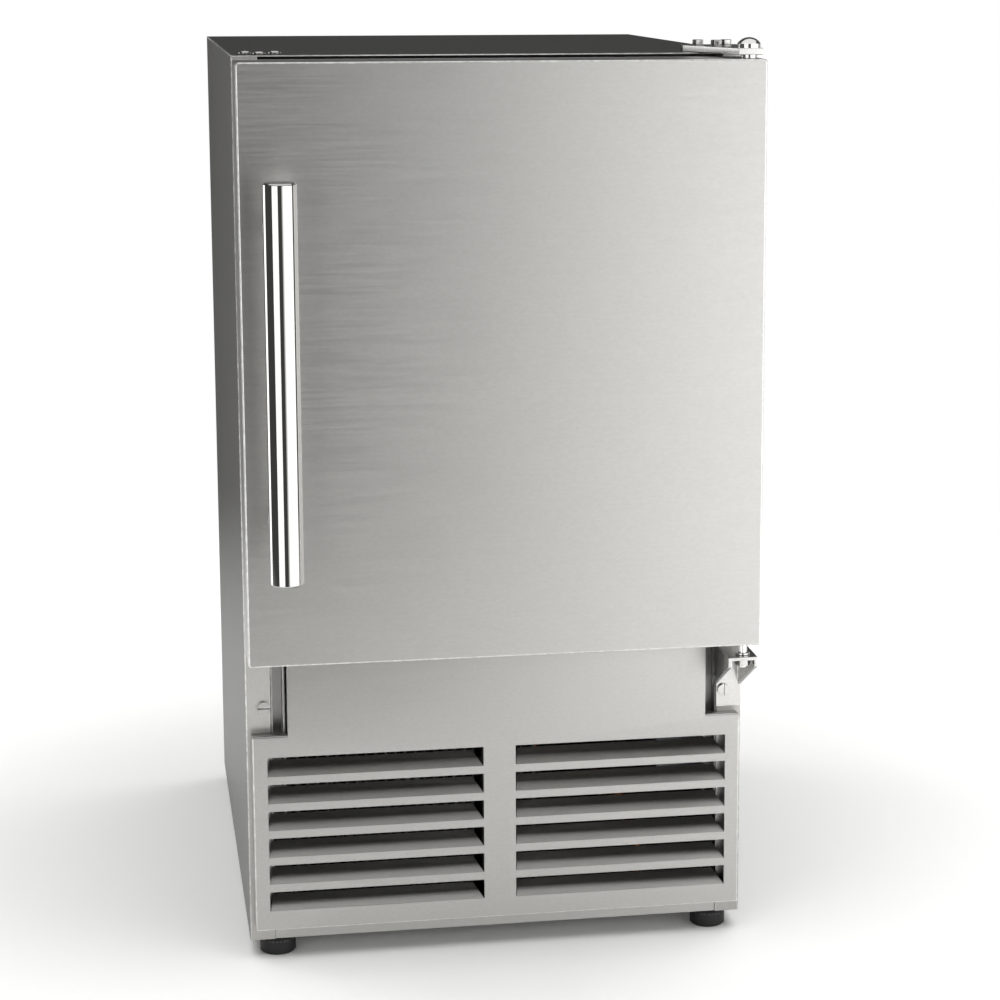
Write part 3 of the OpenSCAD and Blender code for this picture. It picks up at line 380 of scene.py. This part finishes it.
def soften(work, width, segments, chosen=lambda edge: True):
    """Rounds the chosen sharp edges of faces that are wide enough, and marks the new faces as rubbed edges, which
    brushed steel also paints bright as a highlight.
    """
    rubbed_and_highlit = work.faces.layers.float.new("rubbed_and_highlit")
    bent = [e for e in work.edges if e.is_manifold and abs(e.calc_face_angle_signed(0.0)) > SHARP]
    outer = [
        e for e in bent if chosen(e) and min(f.calc_area() for f in e.link_faces) > (2 * width) ** 2
    ]
    made = bmesh.ops.bevel(
        work,
        geom=outer,
        offset=width,
        segments=segments,
        profile=0.5,
        affect="EDGES",
        clamp_overlap=False,
    )
    for face in made["faces"]:
        face[rubbed_and_highlit] = 1.0


def to_mesh(work, name):
    """The bmesh as a mesh of its own, without the CAD's normals and sharp marks."""
    mesh = bpy.data.meshes.new(name)
    work.to_mesh(mesh)
    work.free()
    for left_over in ("custom_normal", "sharp_face", "sharp_edge"):
        if left_over in mesh.attributes:
            mesh.attributes.remove(mesh.attributes[left_over])
    return mesh


def softened(name, width_mm):
    """Puts a copy of a CAD node with rounded edges in its place; wide roundings get one more step."""
    work = welded(name)
    soften(work, width_mm * MM, 3 if width_mm > 1 else 2)
    stand_for(to_mesh(work, name + "_soft"), name + "_soft", name)


# The width of the rounding in millimetres, and the nodes that get it.
SOFTENED = {
    1.2: ["compressor_mounts"],
    0.8: ["door_liner", "door_gasket", "module_housing", "control_box", "fill_cup"],
    0.6: ["breaker_frame", "power_rocker", "thermostat_knob", "ejector", "condenser_fan_motor"],
    0.5: ["top_hinge_plate", "bottom_hinge_bracket", "ice_mould", "ice_stripper", "evaporator_fan_motor"],
    0.4: ["handle_bar", "handle_posts", "hinge_nut", "evaporator_cover", "electrical_box", "cord_gland"],
    0.35: ["top_hinge_screws", "fan_shroud", "filter_drier", "bottom_hinge_pin", "hinge_bushes"],
    0.3: ["rear_panel", "rear_access_cover", "module_bracket"],
    0.25: ["grille_channels", "mullion_rail", "base_pan", "flange_screws"],
}
FEET = ["foot_front_left", "foot_front_right", "foot_rear_left", "foot_rear_right"]
for width_mm, names in SOFTENED.items():
    for name in names:
        softened(name, width_mm)
for name in FEET:
    softened(name, 0.5)


LINER_CORNER = 9 * MM
LINER_EDGE = 60 * MM


def rounded_liner():
    """The compartment's liner with wide round corners inside, as it is moulded from one sheet."""
    work = welded("inner_liner")
    slack = 1 * MM
    low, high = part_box("inner_liner")

    def inside(corner):
        across = low.x + slack < corner.co.x < high.x - slack
        upright = low.z + slack < corner.co.z < high.z - slack
        return across and upright and corner.co.y < high.y - slack

    def inner_corner(edge):
        hollow = edge.calc_face_angle_signed(0.0) < 0
        return hollow and edge.calc_length() > LINER_EDGE and all(map(inside, edge.verts))

    soften(work, LINER_CORNER, 5, inner_corner)
    stand_for(to_mesh(work, "inner_liner_soft"), "inner_liner_soft", "inner_liner")


rounded_liner()

# A face whose normal has a y below this looks to the front.
TO_FRONT = -0.9


def folded_sheet(name, width_mm, is_outside, shortest=0.0):
    """A thin sheet with its front faces marked for painted light and only its outer edges rounded, as a fold is.
    """
    work = welded(name)
    front = work.faces.layers.float.new("front")
    for face in work.faces:
        face[front] = float(face.normal.y < TO_FRONT)

    def chosen(edge):
        return edge.calc_length() > shortest and all(map(is_outside, edge.verts))

    soften(work, width_mm * MM, 3, chosen)
    stand_for(to_mesh(work, name + "_soft"), name + "_soft", name)


def sheet_folds():
    """The door, the sides, the top and the grille, each with rounded edges around its outer face, which their
    steel paints bright as a highlight.
    """
    long_edge = 50 * MM
    door_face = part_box("door_skin")[0].y + SLACK
    folded_sheet("door_skin", 1.2, lambda corner: corner.co.y < door_face)
    for name in ("left_side_panel", "right_side_panel"):
        side_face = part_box(name)[0].y + SLACK
        folded_sheet(name, 0.9, lambda corner: corner.co.y < side_face, long_edge)
    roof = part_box("top_panel")[1].z - SLACK
    folded_sheet("top_panel", 0.9, lambda corner: corner.co.z > roof, long_edge)
    low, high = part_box("grille")
    border = high.x - SLACK
    sill = low.z + SLACK

    def on_outline(corner):
        return corner.co.y < low.y + SLACK and (abs(corner.co.x) > border or corner.co.z < sill)

    folded_sheet("grille", 0.8, on_outline, long_edge)


sheet_folds()


# ---------------------------------------------------------------- turned shapes


def swept_rings(rings):
    """A closed bmesh skinned over rings of points that all have the same number of points."""
    work = bmesh.new()
    made = [[work.verts.new(point) for point in points] for points in rings]
    count = len(made[0])
    for lower, upper in zip(made, made[1:]):
        for i in range(count):
            j = (i + 1) % count
            work.faces.new((lower[i], lower[j], upper[j], upper[i]))
    work.faces.new(list(reversed(made[0])))
    work.faces.new(made[-1])
    bmesh.ops.recalc_face_normals(work, faces=work.faces)
    return work


def ring(radius, height, steps=48, wave=None):
    """A ring of points about Z; wave(angle) is added to its radius."""
    angles = [2 * math.pi * i / steps for i in range(steps)]
    radii = [radius + (wave(angle) if wave else 0.0) for angle in angles]
    return [Vector((r * math.cos(a), r * math.sin(a), height)) for r, a in zip(radii, angles)]


def turned(profile, steps=48):
    """A solid of revolution about Z through (radius, height) points."""
    return swept_rings([ring(radius, height, steps) for radius, height in profile])


def joined(works):
    """Several bmeshes as one."""
    whole = bmesh.new()
    for work in works:
        part = bpy.data.meshes.new("part")
        work.to_mesh(part)
        work.free()
        whole.from_mesh(part)
        bpy.data.meshes.remove(part)
    return whole


def moved(work, matrix):
    """The bmesh after a transform."""
    bmesh.ops.transform(work, matrix=matrix, verts=work.verts)
    return work


def carved(body, cutter):
    """The body with the cutter's shape taken out of it."""
    solids = []
    for label, work in (("carved_body", body), ("carved_cutter", cutter)):
        mesh = bpy.data.meshes.new(label)
        work.to_mesh(mesh)
        work.free()
        solids.append(bpy.data.objects.new(label, mesh))
        bpy.context.scene.collection.objects.link(solids[-1])
    cut = solids[0].modifiers.new("cut", "BOOLEAN")
    cut.object = solids[1]
    cut.solver = "EXACT"
    result = bmesh.new()
    result.from_mesh(solids[0].evaluated_get(bpy.context.evaluated_depsgraph_get()).to_mesh())
    for solid in solids:
        bpy.data.objects.remove(solid)
    return result


def solids_of(name):
    """The lowest and highest corner of each separate solid of a CAD node."""
    work = welded(name)
    waiting = set(work.verts)
    boxes = []
    while waiting:
        group = {waiting.pop()}
        newest = set(group)
        while newest:
            newest = {other for v in newest for e in v.link_edges for other in e.verts} - group
            group |= newest
        waiting -= group
        corners = [[pick(v.co[axis] for v in group) for axis in range(3)] for pick in (min, max)]
        boxes.append((Vector(corners[0]), Vector(corners[1])))
    work.free()
    return sorted(boxes, key=lambda box: tuple(box[0]))


TO_BACK = Matrix.Rotation(math.radians(-90), 4, "X")

# Shares of a screw head's radius and height.
DOME = ((1.0, 0.0), (1.0, 0.3), (0.93, 0.62), (0.75, 0.86), (0.45, 0.97), (0.1, 1.0))
RECESS_LENGTH = 1.1
RECESS_WIDTH = 0.24
RECESS_TAPER = 0.6
RECESS_FLOOR = 0.35
RECESS_TOP = 1.2

# Shares of a rear screw's radius and height.
WASHER_BORE = 0.3
WASHER_HEIGHT = 0.2
HEAD_RADIUS = 0.86
HEAD_HEIGHT = 0.8

# How far each screw is turned past the one before, in radians.
REAR_TURN = 0.7
PLUG_TURN = 0.9


def recess_arm(radius, height):
    """A cutter about Z for one arm of a cross recess: it narrows towards its floor."""
    arm = bmesh.new()
    bmesh.ops.create_cube(arm, size=1.0)
    for v in arm.verts:
        at_floor = v.co.z < 0
        narrow = RECESS_TAPER if at_floor else 1.0
        v.co.x *= radius * RECESS_LENGTH * narrow
        v.co.y *= radius * RECESS_WIDTH * narrow
        v.co.z = height * (RECESS_FLOOR if at_floor else RECESS_TOP)
    return arm


def cross_head(radius, height):
    """A domed screw head about Z with a tapered cross recess."""
    head = turned([(radius * share, height * rise) for share, rise in DOME], steps=32)
    for quarter in (0, 1):
        turn = Matrix.Rotation(quarter * math.pi / 2, 4, "Z")
        head = carved(head, moved(recess_arm(radius, height), turn))
    return head


def rear_screws():
    """Pan-head screws on washers, for the rear panel and the access cover."""
    works = []
    for i, (low, high) in enumerate(solids_of("cover_screws")):
        radius = (high.x - low.x) / 2
        height = high.y - low.y
        bore = radius * WASHER_BORE
        washer_t = height * WASHER_HEIGHT
        washer = turned([(bore, 0), (radius, 0), (radius, washer_t), (bore, washer_t)])
        head = cross_head(radius * HEAD_RADIUS, height * HEAD_HEIGHT)
        moved(head, Matrix.Translation((0, 0, washer_t)))
        turn = Matrix.Rotation(REAR_TURN * i, 4, "Z")
        place = Matrix.Translation(((low.x + high.x) / 2, low.y, (low.z + high.z) / 2)) @ TO_BACK @ turn
        works += [moved(washer, place), moved(head, place)]
    stand_for(to_mesh(joined(works), "rear_screws"), "rear_screws", "cover_screws")


SHANK_R = 2 * MM
SHANK_IN_HEAD = 0.2 * MM


def plug_screws():
    """The three screws that plug the spare hinge holes."""
    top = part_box("top_panel")[1].z
    works = []
    for i, (low, high) in enumerate(solids_of("hinge_plug_screws")):
        radius = (high.x - low.x) / 2
        centre = Vector(((low.x + high.x) / 2, (low.y + high.y) / 2, top))
        place = Matrix.Translation(centre) @ Matrix.Rotation(PLUG_TURN * i, 4, "Z")
        works.append(moved(cross_head(radius, high.z - top), place))
        shank = turned([(SHANK_R, low.z - top), (SHANK_R, SHANK_IN_HEAD)], steps=24)
        works.append(moved(shank, place))
    stand_for(to_mesh(joined(works), "plug_screws"), "plug_screws", "hinge_plug_screws")


VALVE_ROUNDING = 0.4 * MM
SPIGOT_LENGTH = 15 * MM
THREAD_PITCH = 2 * MM
THREAD_DEPTH = 1.2 * MM
TURN_STEPS = 16
BORE_SHARE = 0.62
BORE_BEVEL = 0.6 * MM
BORE_FLOOR = 2 * MM


def ridge(angle, height, fade):
    """How far a thread's flank lies inside its crest at an angle and a height; fade 0 is all root."""
    phase = (height / THREAD_PITCH - angle / (2 * math.pi)) % 1.0
    return -THREAD_DEPTH * (1.0 - fade * (1.0 - abs(2 * phase - 1.0)))


def thread_rings(radius):
    """Rings up a threaded spigot, whose thread runs out at both ends."""
    steps = TURN_STEPS * int(SPIGOT_LENGTH / THREAD_PITCH)
    rings = []
    for i in range(steps + 1):
        height = SPIGOT_LENGTH * i / steps
        fade = min(1.0, (SPIGOT_LENGTH - height) / THREAD_PITCH, height / THREAD_PITCH)
        rings.append(ring(radius, height, wave=lambda angle: ridge(angle, height, fade)))
    return rings


def threaded_inlet():
    """The water valve with a real thread and a bore on its hose inlet."""
    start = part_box("water_valve")[1].y - SPIGOT_LENGTH
    work = welded("water_valve")
    spigot_verts = [v for v in work.verts if v.co.y > start + SLACK]
    span = [v.co.x for v in spigot_verts]
    radius = (max(span) - min(span)) / 2
    level = [v.co.z for v in spigot_verts]
    centre = Vector(((max(span) + min(span)) / 2, start, (max(level) + min(level)) / 2))
    bmesh.ops.delete(work, geom=spigot_verts, context="VERTS")
    bmesh.ops.holes_fill(work, edges=work.edges, sides=0)
    soften(work, VALVE_ROUNDING, 2)
    bore = radius * BORE_SHARE
    mouth = [ring(bore + BORE_BEVEL, SPIGOT_LENGTH), ring(bore, SPIGOT_LENGTH - BORE_BEVEL)]
    rings = thread_rings(radius) + mouth + [ring(bore, BORE_FLOOR)]
    spigot = moved(swept_rings(rings), Matrix.Translation(centre) @ TO_BACK)
    whole = to_mesh(joined([work, spigot]), "water_valve_threaded")
    stand_for(whole, "water_valve_threaded", "water_valve")


BLADES = 5
BLADE_SKIN = 1.4 * MM
BLADE_STEPS = 8
ROOT_PITCH = 48
TIP_PITCH = 24
ROOT_CHORD = 1.25
CHORD_LOSS = 0.45
DEPTH_FILLED = 0.86
SWEEP = 0.25
CAMBER = 0.07


def blade_section(radius, share, depth):
    """One closed section of a blade at a radius: cambered, thin-edged, flatter towards the tip.

    share runs from 0 at the root to 1 at the tip. The chord is a share of the radius, as long as
    the blade still fits in the fan's depth.
    """
    pitch = math.radians(ROOT_PITCH + (TIP_PITCH - ROOT_PITCH) * share)
    widest = DEPTH_FILLED * depth / math.sin(pitch)
    chord = min(radius * (ROOT_CHORD - CHORD_LOSS * share), widest)
    section = []
    for side in (1, -1):
        for step in range(BLADE_STEPS):
            along = (step / BLADE_STEPS - 0.5) * side
            bulge = 1 - 4 * along * along
            turn = along * chord * math.cos(pitch) / radius - SWEEP * share
            camber = CAMBER * chord * bulge
            half_skin = BLADE_SKIN * ((0.2 + 0.3 * bulge) * bulge + 0.1)
            offset = camber + side * half_skin
            height = depth / 2 + along * chord * math.sin(pitch) + offset * math.cos(pitch)
            section.append(Vector((radius * math.cos(turn), radius * math.sin(turn), height)))
    return section


def joint_place(name):
    """Where the joint is that a CAD node's body turns on."""
    joint = next(joint for joint in frame["joints"] if joint["child"] == body_of[name])
    return Vector(joint["pos_m"])


def twisted_fan(name, hub_mm, tip_mm):
    """An axial fan whose blades flatten from hub to tip, with the radii of its hub and its tips."""
    low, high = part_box(name)
    axis = joint_place(name)
    depth = high.y - low.y
    hub = hub_mm * MM
    tip = tip_mm * MM
    root = hub * 0.9
    nose = depth * 0.12
    front = [(hub * 0.5, nose), (hub * 0.85, nose + 0.4 * MM), (hub, nose + 2 * MM)]
    rear = [(hub, depth - nose), (hub * 0.3, depth - nose)]
    works = [turned(front + rear)]
    for blade in range(BLADES):
        shares = [i / BLADE_STEPS for i in range(BLADE_STEPS + 1)]
        rings = [blade_section(root + (tip - root) * share, share, depth) for share in shares]
        works.append(moved(swept_rings(rings), Matrix.Rotation(2 * math.pi * blade / BLADES, 4, "Z")))
    place = Matrix.Translation((axis.x, low.y, axis.z)) @ TO_BACK
    stand_for(to_mesh(moved(joined(works), place), name + "_twisted"), name + "_twisted", name)


rear_screws()
plug_screws()
threaded_inlet()
twisted_fan("evaporator_fan", hub_mm=10, tip_mm=36)
twisted_fan("condenser_fan", hub_mm=14, tip_mm=61)


# ---------------------------------------------------------------- ice bucket

BUCKET_SKIN = 2.5 * MM
BUCKET_TAPER = 4 * MM
BUCKET_CORNER = 18 * MM
SMALLEST_CORNER = 3 * MM
BUCKET_HEEL = 10 * MM
RIM_OUT = 2 * MM
RIM_DEPTH = 5 * MM
LIP_OUT = 10 * MM
LIP_DEPTH = 14 * MM
LIP_HALF_WIDTH = 60 * MM
LIP_SKIN = 3 * MM
LIP_END = 2 * MM
LIP_INNER_R = 1 * MM
LIP_ROUNDING = 0.5 * MM


def arc(centre, radius, start, end, steps=6):
    """Points on a circle in a plane, between two angles in degrees."""
    angles = [math.radians(start + (end - start) * i / steps) for i in range(steps + 1)]
    return [(centre[0] + radius * math.cos(a), centre[1] + radius * math.sin(a)) for a in angles]


def rounded_outline(width, depth, radius, height):
    """A ring of points around a rectangle with round corners, centred on Z."""
    points = []
    for quarter, (right, back) in enumerate(((1, 1), (-1, 1), (-1, -1), (1, -1))):
        middle = (right * (width / 2 - radius), back * (depth / 2 - radius))
        points += arc(middle, radius, quarter * 90, quarter * 90 + 90, steps=8)
    return [Vector((x, y, height)) for x, y in points]


def bucket_shell(width, depth, height):
    """Tapered walls with a round heel and a rim that is rolled outwards."""
    heel = (RIM_OUT + BUCKET_TAPER + BUCKET_HEEL, BUCKET_HEEL)
    roll = (RIM_OUT + BUCKET_SKIN) / 2
    path = arc(heel, BUCKET_HEEL - BUCKET_SKIN, -90, -180)
    path += arc((roll, height - roll), roll, 0, 180)
    path += [(0.0, height - RIM_DEPTH), (RIM_OUT, height - RIM_DEPTH - RIM_OUT / 2)]
    path += arc(heel, BUCKET_HEEL, -180, -90)
    rings = []
    for inset, z in path:
        radius = max(BUCKET_CORNER - inset, SMALLEST_CORNER)
        rings.append(rounded_outline(width - 2 * inset, depth - 2 * inset, radius, z))
    return swept_rings(rings)


def bucket_lip(front, top):
    """The pull at the front: a strip that is bent down."""
    fold = (front - LIP_OUT + LIP_SKIN, top - LIP_SKIN)
    end = [(front - LIP_OUT, top - LIP_DEPTH), (front - LIP_OUT + LIP_END, top - LIP_DEPTH)]
    inner = arc((fold[0], fold[1] - LIP_INNER_R), LIP_INNER_R, 180, 90)
    root = [(front + RIM_OUT, top - LIP_SKIN), (front + RIM_OUT, top)]
    profile = arc(fold, LIP_SKIN, 90, 180) + end + inner + root
    sides = (-LIP_HALF_WIDTH, LIP_HALF_WIDTH)
    lip = swept_rings([[Vector((x, y, z)) for y, z in profile] for x in sides])
    soften(lip, LIP_ROUNDING, 2)
    return lip


def ice_bucket():
    """The bucket with its tapered walls, rolled rim and pull, in the place of the CAD's plain one."""
    low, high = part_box("ice_bucket")
    depth = high.y - low.y - LIP_OUT
    height = high.z - low.z
    shell = bucket_shell(high.x - low.x, depth, height)
    whole = joined([shell, bucket_lip(-depth / 2, height)])
    middle = Vector(((low.x + high.x) / 2, high.y - depth / 2, low.z))
    moved(whole, Matrix.Translation(middle))
    stand_for(to_mesh(whole, "ice_bucket_shell"), "ice_bucket_shell", "ice_bucket")


ice_bucket()


# ---------------------------------------------------------------- floor, light and camera

FLOOR_FULL = 0.45
FLOOR_END = 1.5
FLOOR_LIGHT = [0.90, 0.90, 0.89, 1.0]
FLOOR_DARK = [0.88, 0.88, 0.87, 1.0]
WHITE = (1.0, 1.0, 1.0, 1.0)

# What the wall lights stand around and look at, how far away they are and how high.
WALLS_AROUND = Vector((0.0, -0.22, -0.1))
WALL_DISTANCE = 2.6
WALL_HEIGHT = 3.0

CEILING = Vector((0.1, -0.5, 2.8))
BELOW_CEILING = Vector((CEILING.x, CEILING.y, 0.0))
CEILING_WIDTH = 3.8
CEILING_DEPTH = 3.4

CAMERA_PLACE = Vector((-0.257, -1.9497, 0.6998))
CAMERA_YAW = 10.05
CAMERA_PITCH = 10.00
CAMERA_LENS = 94.9
CAMERA_SHIFT = -0.08


def studio_floor():
    """A round pale floor with a faint unevenness, which fades out into the backdrop."""
    bpy.ops.mesh.primitive_circle_add(vertices=96, radius=FLOOR_END, fill_type="NGON")
    floor = bpy.context.object
    floor.name = "studio_floor"
    made, tree, shader = material("floor_paper", Specular_IOR_Level=0.2)
    broad = noise(tree, 800 * MM)
    colour = blended(tree, rescaled(tree, broad, 0.0, 1.0), FLOOR_DARK, FLOOR_LIGHT)
    rough = rescaled(tree, broad, 0.6, 0.7)
    set_surface(tree, shader, colour, rough, height=noise(tree, 4 * MM), depth=50 * MICRON)
    place = add(tree, "TexCoord").outputs["Object"]
    radius = add(tree, "VectorMath", {0: place}, operation="LENGTH").outputs["Value"]
    tree.links.new(rescaled(tree, radius, 1.0, 0.0, FLOOR_FULL, FLOOR_END), shader.inputs["Alpha"])
    floor.data.materials.append(made)


def softbox(name, place, aim, width, height, radiance):
    """A rectangular light at place that looks at aim and is equally bright all over."""
    data = bpy.data.lights.new(name, "AREA")
    data.shape = "RECTANGLE"
    data.size = width
    data.size_y = height
    data.energy = radiance * math.pi * width * height
    light = bpy.data.objects.new(name, data)
    light.location = place
    light.rotation_euler = (aim - place).to_track_quat("-Z", "Y").to_euler()
    light.visible_camera = False
    bpy.context.scene.collection.objects.link(light)
    return light


def wall_light(name, from_azimuth, to_azimuth, radiance):
    """A tall softbox that fills the view between two azimuths: 0 is in front, and 90 on the right."""
    middle = math.radians((from_azimuth + to_azimuth) / 2)
    half = math.radians((to_azimuth - from_azimuth) / 2)
    towards = Vector((math.sin(middle), -math.cos(middle), 0.0))
    place = WALLS_AROUND + towards * WALL_DISTANCE
    width = 2 * WALL_DISTANCE * math.tan(half)
    softbox(name, place, WALLS_AROUND, width, WALL_HEIGHT, radiance)


def brightening_wall(from_azimuth, full_azimuth, to_azimuth, radiance, steps=5):
    """Overlapping softboxes whose light grows step by step from one azimuth to the next."""
    for step in range(steps):
        start = from_azimuth + (full_azimuth - from_azimuth) * step / (steps - 1)
        wall_light("right_wall_" + str(step), start, to_azimuth, radiance / steps)


def studio_world(level):
    """A backdrop that is white to the camera and dim as light."""
    world = bpy.data.worlds.new("studio")
    world.use_nodes = True
    tree = world.node_tree
    seen = add(tree, "Background", {"Color": WHITE, "Strength": 1.0})
    lit = add(tree, "Background", {"Color": WHITE, "Strength": level})
    ray = add(tree, "LightPath").outputs["Is Camera Ray"]
    mixed = add(tree, "MixShader", {0: ray, 1: lit.outputs[0], 2: seen.outputs[0]})
    tree.links.new(mixed.outputs[0], tree.nodes["World Output"].inputs["Surface"])
    bpy.context.scene.world = world


def studio_camera():
    """A long lens in front of the object, a little to its left and slightly above it."""
    data = bpy.data.cameras.new("camera")
    data.lens = CAMERA_LENS
    data.shift_x = CAMERA_SHIFT
    data.shift_y = CAMERA_SHIFT
    camera = bpy.data.objects.new("camera", data)
    camera.location = CAMERA_PLACE
    camera.rotation_euler = (math.radians(90 - CAMERA_PITCH), 0.0, math.radians(-CAMERA_YAW))
    bpy.context.scene.collection.objects.link(camera)
    bpy.context.scene.camera = camera
    bpy.context.scene.view_settings.view_transform = "Standard"


studio_floor()
studio_world(level=0.09)
brightening_wall(from_azimuth=5, full_azimuth=17, to_azimuth=86, radiance=2.4)
wall_light("left_wall", from_azimuth=-58, to_azimuth=-20, radiance=2.2)
wall_light("rear_left_wall", from_azimuth=-142, to_azimuth=-116, radiance=2.6)
wall_light("rear_right_wall", from_azimuth=107, to_azimuth=150, radiance=0.8)
softbox("overhead", CEILING, BELOW_CEILING, CEILING_WIDTH, CEILING_DEPTH, radiance=1.1)
floor_light = softbox("floor_light", CEILING, BELOW_CEILING, CEILING_WIDTH, CEILING_DEPTH, radiance=3.9)
floor_light.visible_glossy = False
studio_camera()
